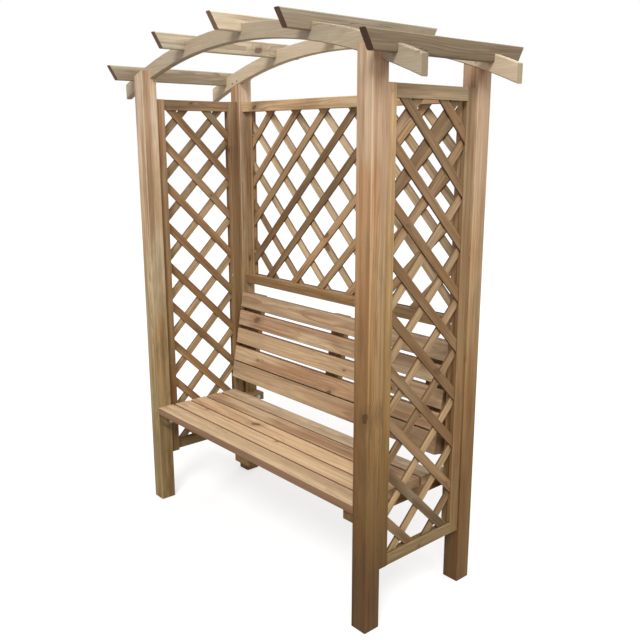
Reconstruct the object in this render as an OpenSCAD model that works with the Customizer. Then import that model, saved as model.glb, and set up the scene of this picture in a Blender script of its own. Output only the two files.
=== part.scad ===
// Arched garden pergola with a slatted bench, trellis sides and a trellis back.
// X runs left to right, Y from the open front to the back, Z up.
// The origin is on the ground, in the middle of the four posts.

/* [Posts] */
// Width over the outer faces of the posts
width_over_posts = 1460; // [1200:10:2000]
// Depth over the outer faces of the posts
depth_over_posts = 576; // [540:2:760]
// Side of the square posts
post_side = 70; // [62:1:90]
// Radius of the rounded long edges of a post
post_round = 4; // [1:0.5:8]

/* [Arches] */
// Height of the crown of an arch, on its upper edge
arch_crown = 2104; // [1960:1:2300]
// Radius of the upper edge of an arch
arch_radius = 2396; // [1700:1:3200]
// Height of an arch board, from lower to upper edge
arch_high = 60; // [48:1:90]
// Thickness of an arch board
arch_thick = 28; // [20:1:34]
// Chamfer along the edges of an arch
arch_ease = 3; // [1:0.5:6]
// Length by which an arch passes the outer face of a post
arch_overhang = 152; // [110:1:220]

/* [Rafters] */
// Distance from one rafter to the next
rafter_pitch = 388; // [340:1:420]
// Height of a rafter
rafter_high = 60; // [46:1:90]
// Thickness of a rafter
rafter_thick = 28; // [18:1:40]
// Length by which a rafter passes the posts at its upper edge
rafter_overhang = 92; // [60:1:180]
// Length by which its slanted end falls back towards the lower edge
rafter_slant = 35; // [0:1:55]
// Radius of the eased edges of a rafter
rafter_round = 5; // [1:0.5:8]

/* [Panel frames] */
// Drop from an arch's lower edge, at a post's inner face, to the top of the panels
panel_under_arch = 83; // [50:1:160]
// Height of the lower edge of the side panels
side_panel_low = 220; // [120:1:400]
// Height of the lower edge of the back panel
back_panel_low = 1002; // [985:1:1200]
// Distance from the outer face of a post back to the face of a panel
frame_recess = 8; // [2:1:16]
// Side of the square frame members
frame_side = 45; // [38:1:50]
// Thickness of the flat frame members between the square ones
frame_thin = 28; // [24:1:36]
// Radius of the rounded edges of frame members
frame_round = 2.5; // [1:0.5:4]
// Depth of the groove that holds the ends of the slats
groove_deep = 6; // [3:1:9]

/* [Trellis] */
// Width of a slat
slat_wide = 34; // [20:1:50]
// Thickness of a slat
slat_thick = 8; // [5:0.5:9]
// Distance across from crossing to crossing
trellis_pitch_across = 186; // [140:1:260]
// Distance up from crossing to crossing in the side panels
side_pitch_up = 185; // [140:1:260]
// Distance up from crossing to crossing in the back panel
back_pitch_up = 185; // [140:1:260]
// Drop from the top rail to the first middle crossing of a side panel
side_crossing_drop = 127; // [40:1:200]
// Drop from the top rail to the first middle crossing of the back panel
back_crossing_drop = 107; // [40:1:200]
// Distance of the back panel's middle crossing from the centre line
back_crossing_shift = -19; // [-80:1:80]

/* [Seat] */
// Height of the top of the seat
seat_top = 466; // [400:1:500]
// Width of the boards of the seat, and of the lowest one of the backrest
board_wide = 82; // [76:1:84]
// Thickness of the boards of the seat and the backrest
board_thick = 34; // [24:1:38]
// Radius of their rounded long edges
board_round = 4; // [1:0.5:8]
// Gap between two seat boards
seat_gap = 7; // [3:0.5:9]
// Width of an end bearer
bearer_wide = 56; // [40:1:70]
// Height of an end bearer
bearer_high = 38; // [32:1:60]
// Distance from the front of the seat back to the end of a bearer
bearer_inset = 10; // [0:1:30]
// Width of the flat middle bearer
batten_wide = 85; // [60:1:120]
// Thickness of the middle bearer and of the cleats of the backrest
batten_thick = 28; // [22:1:34]

/* [Backrest] */
// Angle by which the backrest leans back
back_lean = 10.4; // [9.5:0.1:11]
// Height of its lower edge above the seat
back_above_seat = 68; // [55:1:78]
// Distance of its lower front edge from the back faces of the rear posts
back_to_rear = 152.5; // [145:0.5:158]
// Width of its boards above the lowest one
back_board_wide = 75; // [66:1:78]
// Gap between those boards
back_gap = 15; // [8:0.5:17]
// Gap above its lowest board
back_low_gap = 4; // [2:0.5:6]
// Width of the cleats at its ends
end_cleat_wide = 120; // [90:1:180]
// Distance of the middle cleat from the centre line
middle_cleat_shift = 16; // [-60:1:60]

/* [Screws] */
// Diameter of a screw's shank
screw_thick = 5; // [3:0.5:6]
// Diameter of a screw's head
head_wide = 10; // [8:0.5:12]
// Diameter of the bolts that hold the bearers to the posts
bolt_thick = 8; // [6:1:12]
// Length of their shanks
bolt_length = 100; // [80:5:120]
// Width of their hexagonal heads across the corners
bolt_head_wide = 15; // [13:0.5:20]
// Diameter of their washers
washer_wide = 24; // [21:1:34]
// Thickness of their washers
washer_thick = 2; // [1:0.5:3]
// Length of the screws that hold seat boards, panels, arches and rafters
long_screw_length = 60; // [55:1:62]
// Length of the screws in the cleats and the middle bearer
short_screw_length = 50; // [44:1:52]
// Length of the panel and frame screws
panel_screw_length = 80; // [70:1:90]
// Distance of the upper cleat screw from the top of a cleat
cleat_screw_drop = 30; // [20:1:40]
// Distance from the upper to the lower cleat screw
cleat_screw_apart = 50; // [30:1:55]
// Distance of a cleat screw's head from the post
cleat_screw_in = 24; // [20:1:28]
// Depth by which its head is sunk into the cleat
cleat_screw_sunk = 4; // [2:0.5:6]

/* [Fits] */
// Play beside boards that fit between two posts
end_play = 0.5; // [0.2:0.1:2]
// Play around a lapped or grooved joint
lap_play = 0.3; // [0.2:0.1:0.6]
// Play around a screw
screw_play = 0.2; // [0.1:0.05:0.4]

/* [Hidden] */
$fn = 48;
// Sides of the great circles of the arches where they are drawn as a mesh
arch_sides = 720;

// Faces of the posts, measured from the centre
post_out_x = width_over_posts / 2;
post_in_x = post_out_x - post_side;
post_mid_x = post_out_x - post_side / 2;
post_out_y = depth_over_posts / 2;
post_in_y = post_out_y - post_side;
post_mid_y = post_out_y - post_side / 2;

// Circle of the arches, with its lower edge and its middle line
arch_centre_z = arch_crown - arch_radius;
arch_low_radius = arch_radius - arch_high;
arch_mid_radius = arch_radius - arch_high / 2;
arch_end_x = post_out_x + arch_overhang;
function arch_mid_z(x) = arch_centre_z + sqrt(arch_mid_radius ^ 2 - x ^ 2);
post_top_slope = asin(post_mid_x / arch_mid_radius);
arch_low_z = arch_centre_z + sqrt(arch_low_radius ^ 2 - post_in_x ^ 2);

// Places along the roof
rafter_x = [for (i = [-2:2]) i * rafter_pitch];
rafter_end_y = post_out_y + rafter_overhang;

// Planes of the panels
panel_top = arch_low_z - panel_under_arch;
side_frame_out = post_out_x - frame_recess;
side_frame_in = side_frame_out - frame_side;
side_thin_in = side_frame_out - frame_thin;
side_slat_mid = side_frame_out - frame_thin / 2;
side_open_y = post_in_y - frame_side;
back_frame_out = post_out_y - frame_recess;
back_frame_in = back_frame_out - frame_side;
back_thin_in = back_frame_out - frame_thin;
back_slat_mid = back_frame_out - frame_thin / 2;
back_open_x = post_in_x - frame_side;
panel_open_top = panel_top - frame_side;
side_open_low = side_panel_low + frame_side;
back_open_low = back_panel_low + frame_side;
groove_wide = 2 * slat_thick + 2 * lap_play;
slat_reach = groove_deep - lap_play;

// Seat
seat_board_pitch = board_wide + seat_gap;
bearer_top = seat_top - board_thick;
seat_depth = 5 * board_wide + 4 * seat_gap;
board_half = post_in_x - end_play;

// Backrest, measured along its lean from the lower front edge
back_foot_y = post_out_y - back_to_rear;
back_foot_z = seat_top + back_above_seat;
back_first_low = board_wide + back_low_gap;
back_board_low = [for (i = [0:4]) i > 0 ? back_first_low + (i - 1) * (back_board_wide + back_gap) : 0];
back_width = [for (i = [0:4]) i > 0 ? back_board_wide : board_wide];
back_slope_high = back_board_low[4] + back_board_wide;
cleat_back = board_thick + batten_thick;

// Screws
head_high = (head_wide - screw_thick) / 2;
bolt_head_high = 0.7 * bolt_thick;
tip_high = screw_thick;
screw_pair = board_wide / 4;
over = 1;

// A rectangle from the origin with rounded corners
module soft_rect(a, b, r) {
    translate([r, 0]) square([a - 2 * r, b]);
    translate([0, r]) square([a, b - 2 * r]);
    for (i = [r, a - r], j = [r, b - r])
        translate([i, j]) circle(r = r);
}

// A rectangle from the origin with straight chamfers
module eased_rect(a, b, ease) {
    polygon([[ease, 0], [a - ease, 0], [a, ease], [a, b - ease],
             [a - ease, b], [ease, b], [0, b - ease], [0, ease]]);
}

// Bars with rounded long edges, between two corners
module bar_x(low, high, r) {
    translate(low) rotate([90, 0, 90])
        linear_extrude(high.x - low.x)
            soft_rect(high.y - low.y, high.z - low.z, r);
}

module bar_y(low, high, r) {
    translate([low.x, high.y, low.z]) rotate([90, 0, 0])
        linear_extrude(high.y - low.y)
            soft_rect(high.x - low.x, high.z - low.z, r);
}

module bar_z(low, high, r) {
    translate(low)
        linear_extrude(high.z - low.z)
            soft_rect(high.x - low.x, high.y - low.y, r);
}

module block(low, high) {
    translate(low) cube(high - low);
}

// Mirrors what is drawn for the right or the rear to the left or the front
module to_side(side) {
    if (side > 0) children();
    else mirror([1, 0, 0]) children();
}

module to_depth(side) {
    if (side > 0) children();
    else mirror([0, 1, 0]) children();
}

// A countersunk wood screw: the top of its head at the origin, its tip below
module screw(length) {
    color("silver") {
        translate([0, 0, -head_high])
            cylinder(h = head_high, d1 = screw_thick, d2 = head_wide);
        translate([0, 0, -(length - tip_high)])
            cylinder(h = length - tip_high - head_high, d = screw_thick);
        translate([0, 0, -length])
            cylinder(h = tip_high, d1 = screw_thick / 4, d2 = screw_thick);
    }
}

// The hole for that screw, with its countersink open above the head
module screw_hole(length, open = over) {
    wide = head_wide + 2 * screw_play;
    bore = screw_thick + 2 * screw_play;
    translate([0, 0, -length - over])
        cylinder(h = length + over, d = bore);
    translate([0, 0, -head_high - screw_play])
        cylinder(h = head_high, d1 = bore, d2 = wide);
    translate([0, 0, -screw_play])
        cylinder(h = screw_play + open, d = wide);
}

// A hexagonal bolt with its washer, which lies on the plane of the origin
module bolt() {
    color("silver") {
        difference() {
            cylinder(h = washer_thick, d = washer_wide);
            translate([0, 0, -over])
                cylinder(h = washer_thick + 2 * over, d = bolt_thick + 2 * screw_play);
        }
        translate([0, 0, washer_thick])
            cylinder(h = bolt_head_high, d = bolt_head_wide, $fn = 6);
        translate([0, 0, -bolt_length])
            cylinder(h = bolt_length + washer_thick, d = bolt_thick);
    }
}

module bolt_hole() {
    translate([0, 0, -bolt_length - over])
        cylinder(h = bolt_length + 2 * over, d = bolt_thick + 2 * screw_play);
}

// Ways in which a screw's head can face
face_front = [90, 0, 0];
face_rear = [-90, 0, 0];
face_right = [0, 90, 0];
face_down = [180, 0, 0];
face_up = [0, 0, 0];

// Places of the screws on the right or rear half; the other half mirrors them
seat_crossings = [for (i = [0:4], s = [-1, 1])
    -post_out_y + i * seat_board_pitch + board_wide / 2 + s * screw_pair];
back_crossings = [for (i = [0:4], s = [-1, 1])
    back_board_low[i] + back_width[i] / 2 + s * screw_pair];
side_screw_z = [for (t = [0.08, 0.5, 0.92])
    side_panel_low + t * (panel_top - side_panel_low)];
side_cheek_x = (side_frame_in + side_slat_mid - groove_wide / 2) / 2;
back_first_crossing = panel_open_top - back_crossing_drop;
back_last_row = floor((back_first_crossing - back_open_low - head_wide) / back_pitch_up);
back_screw_z = [for (row = [0, back_last_row]) back_first_crossing - row * back_pitch_up];
cleat_screw_up = [for (i = [0, 1]) back_slope_high - cleat_screw_drop - i * cleat_screw_apart];

module seat_end_screws_at() {
    for (y = seat_crossings)
        translate([post_in_x - bearer_wide / 2, y, bearer_top - bearer_high])
            rotate(face_down) children();
}

module seat_middle_screws_at() {
    for (y = seat_crossings)
        translate([0, y, bearer_top - batten_thick]) rotate(face_down) children();
}

module bearer_bolts_at() {
    for (y = [-1, 1] * post_mid_y)
        translate([post_in_x - bearer_wide, y, bearer_top - bearer_high / 2])
            rotate([0, -90, 0]) children();
}

module in_backrest() {
    translate([0, back_foot_y, back_foot_z]) rotate([-back_lean, 0, 0]) children();
}

module backrest_screws_at(x) {
    in_backrest()
        for (z = back_crossings)
            translate([x, cleat_back, z]) rotate(face_rear) children();
}

// The cleats are screwed askew into the inner faces of the rear posts
cleat_screw_turn = 50;
module cleat_screws_at() {
    in_backrest()
        for (z = cleat_screw_up)
            translate([post_in_x - cleat_screw_in, cleat_back, z])
                rotate([0, 0, cleat_screw_turn]) rotate(face_rear)
                    translate([0, 0, -cleat_screw_sunk]) children();
}

module arch_screws_at() {
    for (s = [-1, 1] * post_side / 4)
        translate([post_mid_x + s, post_in_y, arch_mid_z(post_mid_x + s) - arch_high / 4])
            rotate(face_front) children();
}

module rafter_screws_at() {
    for (x = rafter_x, side = [-1, 1])
        translate([x, side * (post_in_y + arch_thick / 2), arch_mid_z(x) + rafter_high])
            rotate(face_up) children();
}

module side_panel_screws_at() {
    for (side = [-1, 1], z = side_screw_z)
        translate([side_cheek_x, side * side_open_y, z])
            rotate(side > 0 ? face_front : face_rear) children();
}

// Between two slats, from the groove outwards into the post
module back_panel_screws_at() {
    for (z = back_screw_z)
        translate([back_open_x + groove_deep, back_slat_mid, z]) rotate([0, -90, 0]) children();
}

// The rails of a side panel are held through its stiles, from the post side
module side_frame_screws_at() {
    for (side = [-1, 1], z = [side_panel_low, panel_open_top])
        translate([side_slat_mid, side * post_in_y, z + frame_side / 2])
            rotate(side > 0 ? face_rear : face_front) children();
}

// The stiles of the back panel are held through its rails
module back_frame_screws_at() {
    x = post_in_x - frame_side / 2;
    translate([x, back_slat_mid, panel_top]) rotate(face_up) children();
    translate([x, back_slat_mid, back_panel_low]) rotate(face_down) children();
}

// The full ring that the rear arch is cut from, with play all round
module arch_space(play) {
    translate([0, post_in_y + arch_thick + play, arch_centre_z]) rotate([90, 0, 0])
        linear_extrude(arch_thick + 2 * play) difference() {
            circle(r = arch_radius + play, $fn = arch_sides);
            circle(r = arch_low_radius - play, $fn = arch_sides);
        }
}

// A rear right post; its notch on the inner side takes the arch
module post_body() {
    color("tan") difference() {
        bar_z([post_in_x, post_in_y, 0], [post_out_x, post_out_y, arch_crown], post_round);
        translate([post_mid_x, post_mid_y, arch_mid_z(post_mid_x)])
            rotate([0, post_top_slope, 0])
                translate([-2 * post_side, -2 * post_side, 0])
                    cube([4 * post_side, 4 * post_side, arch_crown]);
        difference() {
            block([post_in_x - over, post_in_y - over, 0],
                  [post_out_x + over, post_in_y + arch_thick + lap_play, arch_crown + over]);
            translate([0, post_out_y, arch_centre_z]) rotate([90, 0, 0])
                cylinder(h = 2 * post_side, r = arch_low_radius - lap_play, $fn = arch_sides);
        }
        arch_screws_at() screw_hole(long_screw_length);
        bearer_bolts_at() bolt_hole();
        side_panel_screws_at() screw_hole(panel_screw_length);
    }
}

module rear_post() {
    difference() {
        post_body();
        back_panel_screws_at() screw_hole(panel_screw_length);
        cleat_screws_at() screw_hole(long_screw_length);
    }
}

module post_front_left() { to_side(-1) to_depth(-1) post_body(); }
module post_front_right() { to_depth(-1) post_body(); }
module post_rear_left() { to_side(-1) rear_post(); }
module post_rear_right() { rear_post(); }

// The rear arch: a curved board that ends past the posts, cut upright
module arch() {
    color("wheat") difference() {
        intersection() {
            translate([0, post_in_y + arch_thick, arch_centre_z]) rotate([90, 0, 0])
                rotate_extrude($fn = arch_sides)
                    translate([arch_low_radius, 0]) eased_rect(arch_high, arch_thick, arch_ease);
            block([-arch_end_x, post_in_y - over, arch_centre_z + arch_low_radius / 2],
                  [arch_end_x, post_in_y + arch_thick + over, arch_crown + over]);
        }
        for (side = [-1, 1])
            to_side(side) arch_screws_at() screw_hole(long_screw_length);
        rafter_screws_at() screw_hole(long_screw_length);
    }
}

module arch_front() { to_depth(-1) arch(); }
module arch_rear() { arch(); }

// A rafter stands upright on both arches, notched down to their middle line
module rafter(i) {
    x = rafter_x[i - 1];
    low = arch_mid_z(x);
    color("burlywood") difference() {
        intersection() {
            bar_y([x - rafter_thick / 2, -rafter_end_y, low],
                  [x + rafter_thick / 2, rafter_end_y, low + rafter_high], rafter_round);
            translate([x - rafter_thick, 0, low]) rotate([90, 0, 90])
                linear_extrude(2 * rafter_thick)
                    polygon([[-rafter_end_y, rafter_high], [-rafter_end_y + rafter_slant, 0],
                             [rafter_end_y - rafter_slant, 0], [rafter_end_y, rafter_high]]);
        }
        for (side = [-1, 1])
            to_depth(side) arch_space(lap_play);
        rafter_screws_at() screw_hole(long_screw_length);
    }
}

module rafter_1() { rafter(1); }
module rafter_2() { rafter(2); }
module rafter_3() { rafter(3); }
module rafter_4() { rafter(4); }
module rafter_5() { rafter(5); }

// The right side panel: square stiles at the posts, with a groove for the slats
module side_stile(depth_side) {
    color("peru") to_depth(depth_side) difference() {
        bar_z([side_frame_in, side_open_y, side_panel_low],
              [side_frame_out, post_in_y, panel_top], frame_round);
        block([side_slat_mid - groove_wide / 2, side_open_y - over, side_panel_low + frame_side / 2],
              [side_slat_mid + groove_wide / 2, side_open_y + groove_deep, panel_top - frame_side / 2]);
        side_panel_screws_at() screw_hole(panel_screw_length);
        side_frame_screws_at() screw_hole(panel_screw_length);
    }
}

module side_rail(low, groove_low) {
    color("peru") difference() {
        bar_y([side_thin_in, -side_open_y, low], [side_frame_out, side_open_y, low + frame_side],
              frame_round);
        block([side_slat_mid - groove_wide / 2, -side_open_y - over, groove_low],
              [side_slat_mid + groove_wide / 2, side_open_y + over, groove_low + groove_deep + over]);
        side_frame_screws_at() screw_hole(panel_screw_length);
    }
}

module side_rail_top() { side_rail(panel_open_top, panel_open_top - over); }
module side_rail_bottom() { side_rail(side_panel_low, side_open_low - groove_deep); }

// One layer of slanting slats in the plane of the panel, X across and Y up.
// The first crossing is at cross; slope is 1 for rising slats, -1 for falling.
module slat_layer(size, cross, pitch_up, slope) {
    run = trellis_pitch_across;
    turn = slope * atan(pitch_up / run);
    reach = size.x + size.y;
    last = ceil(reach / run) + 1;
    intersection() {
        translate([-size.x / 2, 0]) square(size);
        for (i = [-last:last])
            translate([cross.x + i * run, cross.y]) rotate(turn)
                square([3 * reach, slat_wide], center = true);
    }
}

side_lattice = [2 * (side_open_y + slat_reach), panel_open_top - side_open_low + 2 * slat_reach];
side_cross = [0, side_lattice.y - slat_reach - side_crossing_drop];
module side_slats(slope, x_low) {
    translate([x_low, 0, side_open_low - slat_reach]) rotate([90, 0, 90])
        linear_extrude(slat_thick)
            slat_layer(side_lattice, side_cross, side_pitch_up, slope);
}

module left_panel_stile_front() { to_side(-1) side_stile(-1); }
module left_panel_stile_rear() { to_side(-1) side_stile(1); }
module left_panel_rail_top() { to_side(-1) side_rail_top(); }
module left_panel_rail_bottom() { to_side(-1) side_rail_bottom(); }
module left_panel_slats_rising() {
    color("saddlebrown") side_slats(1, -side_slat_mid - slat_thick);
}
module left_panel_slats_falling() {
    color("sienna") side_slats(-1, -side_slat_mid);
}
module right_panel_stile_front() { side_stile(-1); }
module right_panel_stile_rear() { side_stile(1); }
module right_panel_rail_top() { side_rail_top(); }
module right_panel_rail_bottom() { side_rail_bottom(); }
module right_panel_slats_rising() {
    color("saddlebrown") side_slats(1, side_slat_mid - slat_thick);
}
module right_panel_slats_falling() {
    color("sienna") side_slats(-1, side_slat_mid);
}

// The back panel: square rails from post to post, flat stiles between them
module back_rail(low, groove_low) {
    color("peru") difference() {
        bar_x([-post_in_x, back_frame_in, low], [post_in_x, back_frame_out, low + frame_side],
              frame_round);
        block([-back_open_x - frame_side / 2, back_slat_mid - groove_wide / 2, groove_low],
              [back_open_x + frame_side / 2, back_slat_mid + groove_wide / 2,
               groove_low + groove_deep + over]);
        for (side = [-1, 1])
            to_side(side) back_frame_screws_at() screw_hole(panel_screw_length);
    }
}

module back_stile() {
    color("peru") difference() {
        bar_z([back_open_x, back_thin_in, back_open_low], [post_in_x, back_frame_out, panel_open_top],
              frame_round);
        block([back_open_x - over, back_slat_mid - groove_wide / 2, back_open_low - over],
              [back_open_x + groove_deep, back_slat_mid + groove_wide / 2, panel_open_top + over]);
        back_panel_screws_at() screw_hole(panel_screw_length);
        back_frame_screws_at() screw_hole(panel_screw_length);
    }
}

back_lattice = [2 * (back_open_x + slat_reach), panel_open_top - back_open_low + 2 * slat_reach];
back_cross = [back_crossing_shift, back_lattice.y - slat_reach - back_crossing_drop];
module back_slats(slope, y_high) {
    difference() {
        translate([0, y_high, back_open_low - slat_reach]) rotate([90, 0, 0])
            linear_extrude(slat_thick)
                slat_layer(back_lattice, back_cross, back_pitch_up, slope);
        for (side = [-1, 1])
            to_side(side) back_panel_screws_at() screw_hole(panel_screw_length);
    }
}

module back_panel_rail_top() { back_rail(panel_open_top, panel_open_top - over); }
module back_panel_rail_bottom() { back_rail(back_panel_low, back_open_low - groove_deep); }
module back_panel_stile_left() { to_side(-1) back_stile(); }
module back_panel_stile_right() { back_stile(); }
module back_panel_slats_rising() {
    color("saddlebrown") back_slats(1, back_slat_mid);
}
module back_panel_slats_falling() {
    color("sienna") back_slats(-1, back_slat_mid + slat_thick);
}

// Seat boards, counted from the front; they are held from below
module seat_board(i) {
    front = -post_out_y + (i - 1) * seat_board_pitch;
    color("burlywood") difference() {
        bar_x([-board_half, front, bearer_top], [board_half, front + board_wide, seat_top],
              board_round);
        for (side = [-1, 1])
            to_side(side) seat_end_screws_at() screw_hole(long_screw_length);
        seat_middle_screws_at() screw_hole(short_screw_length);
    }
}

module seat_board_1() { seat_board(1); }
module seat_board_2() { seat_board(2); }
module seat_board_3() { seat_board(3); }
module seat_board_4() { seat_board(4); }
module seat_board_5() { seat_board(5); }

// An end bearer runs along the inner faces of the front and rear post
module seat_end_bearer() {
    color("peru") difference() {
        bar_y([post_in_x - bearer_wide, -post_out_y + bearer_inset, bearer_top - bearer_high],
              [post_in_x, post_out_y, bearer_top], frame_round);
        seat_end_screws_at() screw_hole(long_screw_length);
        bearer_bolts_at() bolt_hole();
    }
}

module seat_bearer_left() { to_side(-1) seat_end_bearer(); }
module seat_bearer_right() { seat_end_bearer(); }

module seat_bearer_middle() {
    color("peru") difference() {
        bar_y([-batten_wide / 2, -post_out_y + board_round, bearer_top - batten_thick],
              [batten_wide / 2, -post_out_y + seat_depth, bearer_top], frame_round);
        seat_middle_screws_at() screw_hole(short_screw_length);
    }
}

// Backrest boards, counted from the lowest; they are held from behind
module backrest_board(i) {
    low = back_board_low[i - 1];
    high = low + back_width[i - 1];
    color("burlywood") difference() {
        in_backrest()
            bar_x([-board_half, 0, low], [board_half, board_thick, high], board_round);
        for (side = [-1, 1])
            to_side(side) backrest_screws_at(post_in_x - end_cleat_wide / 2)
                screw_hole(short_screw_length);
        backrest_screws_at(middle_cleat_shift) screw_hole(short_screw_length);
    }
}

module backrest_board_1() { backrest_board(1); }
module backrest_board_2() { backrest_board(2); }
module backrest_board_3() { backrest_board(3); }
module backrest_board_4() { backrest_board(4); }
module backrest_board_5() { backrest_board(5); }

module cleat(x_low, x_high) {
    in_backrest()
        bar_z([x_low, board_thick, 0], [x_high, cleat_back, back_slope_high], frame_round);
}

module end_cleat() {
    color("peru") difference() {
        cleat(post_in_x - end_cleat_wide, post_in_x);
        backrest_screws_at(post_in_x - end_cleat_wide / 2) screw_hole(short_screw_length);
        cleat_screws_at() screw_hole(long_screw_length, head_wide);
    }
}

module backrest_cleat_left() { to_side(-1) end_cleat(); }
module backrest_cleat_right() { end_cleat(); }

module backrest_cleat_middle() {
    color("peru") difference() {
        cleat(middle_cleat_shift - batten_wide / 2, middle_cleat_shift + batten_wide / 2);
        backrest_screws_at(middle_cleat_shift) screw_hole(short_screw_length);
    }
}

// The screws, in one group for each joint that they make
module seat_screws() {
    for (side = [-1, 1])
        to_side(side) seat_end_screws_at() screw(long_screw_length);
    seat_middle_screws_at() screw(short_screw_length);
}

module bearer_bolts() {
    for (side = [-1, 1])
        to_side(side) bearer_bolts_at() bolt();
}

module backrest_screws() {
    for (side = [-1, 1])
        to_side(side) backrest_screws_at(post_in_x - end_cleat_wide / 2) screw(short_screw_length);
    backrest_screws_at(middle_cleat_shift) screw(short_screw_length);
}

module cleat_screws() {
    for (side = [-1, 1])
        to_side(side) cleat_screws_at() screw(long_screw_length);
}

module arch_screws() {
    for (side = [-1, 1], depth = [-1, 1])
        to_side(side) to_depth(depth) arch_screws_at() screw(long_screw_length);
}

module rafter_screws() { rafter_screws_at() screw(long_screw_length); }

module panel_screws() {
    for (side = [-1, 1])
        to_side(side) {
            side_panel_screws_at() screw(panel_screw_length);
            back_panel_screws_at() screw(panel_screw_length);
        }
}

module frame_screws() {
    for (side = [-1, 1])
        to_side(side) {
            side_frame_screws_at() screw(panel_screw_length);
            back_frame_screws_at() screw(panel_screw_length);
        }
}

post_front_left();
post_front_right();
post_rear_left();
post_rear_right();
arch_front();
arch_rear();
rafter_1();
rafter_2();
rafter_3();
rafter_4();
rafter_5();
left_panel_stile_front();
left_panel_stile_rear();
left_panel_rail_top();
left_panel_rail_bottom();
left_panel_slats_rising();
left_panel_slats_falling();
right_panel_stile_front();
right_panel_stile_rear();
right_panel_rail_top();
right_panel_rail_bottom();
right_panel_slats_rising();
right_panel_slats_falling();
back_panel_rail_top();
back_panel_rail_bottom();
back_panel_stile_left();
back_panel_stile_right();
back_panel_slats_rising();
back_panel_slats_falling();
seat_board_1();
seat_board_2();
seat_board_3();
seat_board_4();
seat_board_5();
seat_bearer_left();
seat_bearer_right();
seat_bearer_middle();
backrest_board_1();
backrest_board_2();
backrest_board_3();
backrest_board_4();
backrest_board_5();
backrest_cleat_left();
backrest_cleat_right();
backrest_cleat_middle();
seat_screws();
bearer_bolts();
backrest_screws();
cleat_screws();
arch_screws();
rafter_screws();
panel_screws();
frame_screws();
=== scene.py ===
# %% [markdown]
# An arched garden pergola with a bench, dressed in pressure-treated softwood.
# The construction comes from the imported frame: posts, arches, rafters, trellis
# panels, seat and backrest are already in their places and at their real sizes.
# This lesson gives each board its own grain, knots, colour and worn edges. It
# also makes the trellis slats again with finer edges, and adds the staples that
# a construction model leaves out.

import collections
import math
import random

import bmesh
import bpy
from mathutils import Matrix, Vector


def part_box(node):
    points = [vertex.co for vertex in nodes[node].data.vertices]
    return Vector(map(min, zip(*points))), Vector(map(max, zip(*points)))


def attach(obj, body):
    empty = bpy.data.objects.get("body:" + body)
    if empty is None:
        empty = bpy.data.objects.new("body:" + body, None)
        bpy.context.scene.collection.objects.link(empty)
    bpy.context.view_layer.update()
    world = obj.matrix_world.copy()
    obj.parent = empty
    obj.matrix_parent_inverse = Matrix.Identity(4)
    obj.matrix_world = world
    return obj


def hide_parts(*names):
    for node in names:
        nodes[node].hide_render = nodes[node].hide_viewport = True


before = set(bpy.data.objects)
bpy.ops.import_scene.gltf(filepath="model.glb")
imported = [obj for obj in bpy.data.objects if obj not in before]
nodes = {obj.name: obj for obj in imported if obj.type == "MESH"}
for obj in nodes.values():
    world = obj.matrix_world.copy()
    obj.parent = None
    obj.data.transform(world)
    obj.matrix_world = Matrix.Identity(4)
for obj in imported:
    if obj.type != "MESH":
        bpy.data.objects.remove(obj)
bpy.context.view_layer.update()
print(len(nodes), "pieces in the frame")

# %% [markdown]
# The camera stands at eye height off the bench's right front corner and looks
# a little down on it. Its place was worked out from the four feet, the upright
# posts and the level rails, so a ruler laid on the picture agrees with the
# model. Its two angles are in degrees, its lens and its sensor in millimetres.

# %% Camera
CAMERA_PLACE = (2.4197, -1.9797, 1.6975)
CAMERA_DOWN = 13.24
CAMERA_TURN = 48.73
CAMERA_LENS = 43.35
CAMERA_SENSOR = 36.0

scene = bpy.context.scene
camera_data = bpy.data.cameras.new("camera")
camera_data.lens = CAMERA_LENS
camera_data.sensor_width = CAMERA_SENSOR
camera = bpy.data.objects.new("camera", camera_data)
camera.location = CAMERA_PLACE
camera.rotation_euler = (math.radians(90 - CAMERA_DOWN), 0, math.radians(CAMERA_TURN))
scene.collection.objects.link(camera)
scene.camera = camera
scene.view_settings.view_transform = "Standard"
print("the camera is", CAMERA_PLACE[2], "m up and looks", CAMERA_DOWN, "degrees down")

# %% [markdown]
# Timber outdoors is best seen under a wide, even sky. One strong lamp overhead
# and slightly to the front gives the tops of the boards their light. A weaker
# one opens up the shadows, and a third lights the side that faces away. Each
# is given by its power and the point it shines from, and all three are as wide
# as a hazy sun, so that no shadow has a hard edge.

# %% Lamps
LAMP_WIDTH = math.radians(20)
LAMPS = {
    "sky_lamp": (2.4, (0.84, -1.05, 1.30)),
    "fill_lamp": (0.70, (1.6, 0.3, 0.5)),
    "back_lamp": (0.55, (-0.8, 1.6, 0.9)),
}

for name, (power, shines_from) in LAMPS.items():
    lamp_data = bpy.data.lights.new(name, "SUN")
    lamp_data.energy = power
    lamp_data.angle = LAMP_WIDTH
    lamp = bpy.data.objects.new(name, lamp_data)
    lamp.rotation_euler = Vector(shines_from).to_track_quat("Z", "Y").to_euler()
    scene.collection.objects.link(lamp)
print(len(LAMPS), "lamps")

# %% [markdown]
# A material, or the sky, is a net of small nodes. Written out, every node costs
# several lines, so add_node makes one in a single call, and the other helpers
# add one node each and return its output. Their inputs may be the outputs of
# other nodes, or plain numbers and colours.

# %% Helpers for single nodes
def plug(tree, value, socket):
    """Links another node's output, or sets a plain value."""
    if isinstance(value, bpy.types.NodeSocket):
        tree.links.new(value, socket)
    else:
        socket.default_value = value


def add_node(tree, kind, *values, **settings):
    """A node with its settings, whose inputs take the values one after another."""
    node = tree.nodes.new("ShaderNode" + kind)
    for name, setting in settings.items():
        setattr(node, name, setting)
    for value, socket in zip(values, node.inputs):
        plug(tree, value, socket)
    return node


def calc(tree, operation, *values):
    return add_node(tree, "Math", *values, operation=operation).outputs[0]


def times(tree, first, second):
    return calc(tree, "MULTIPLY", first, second)


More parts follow.
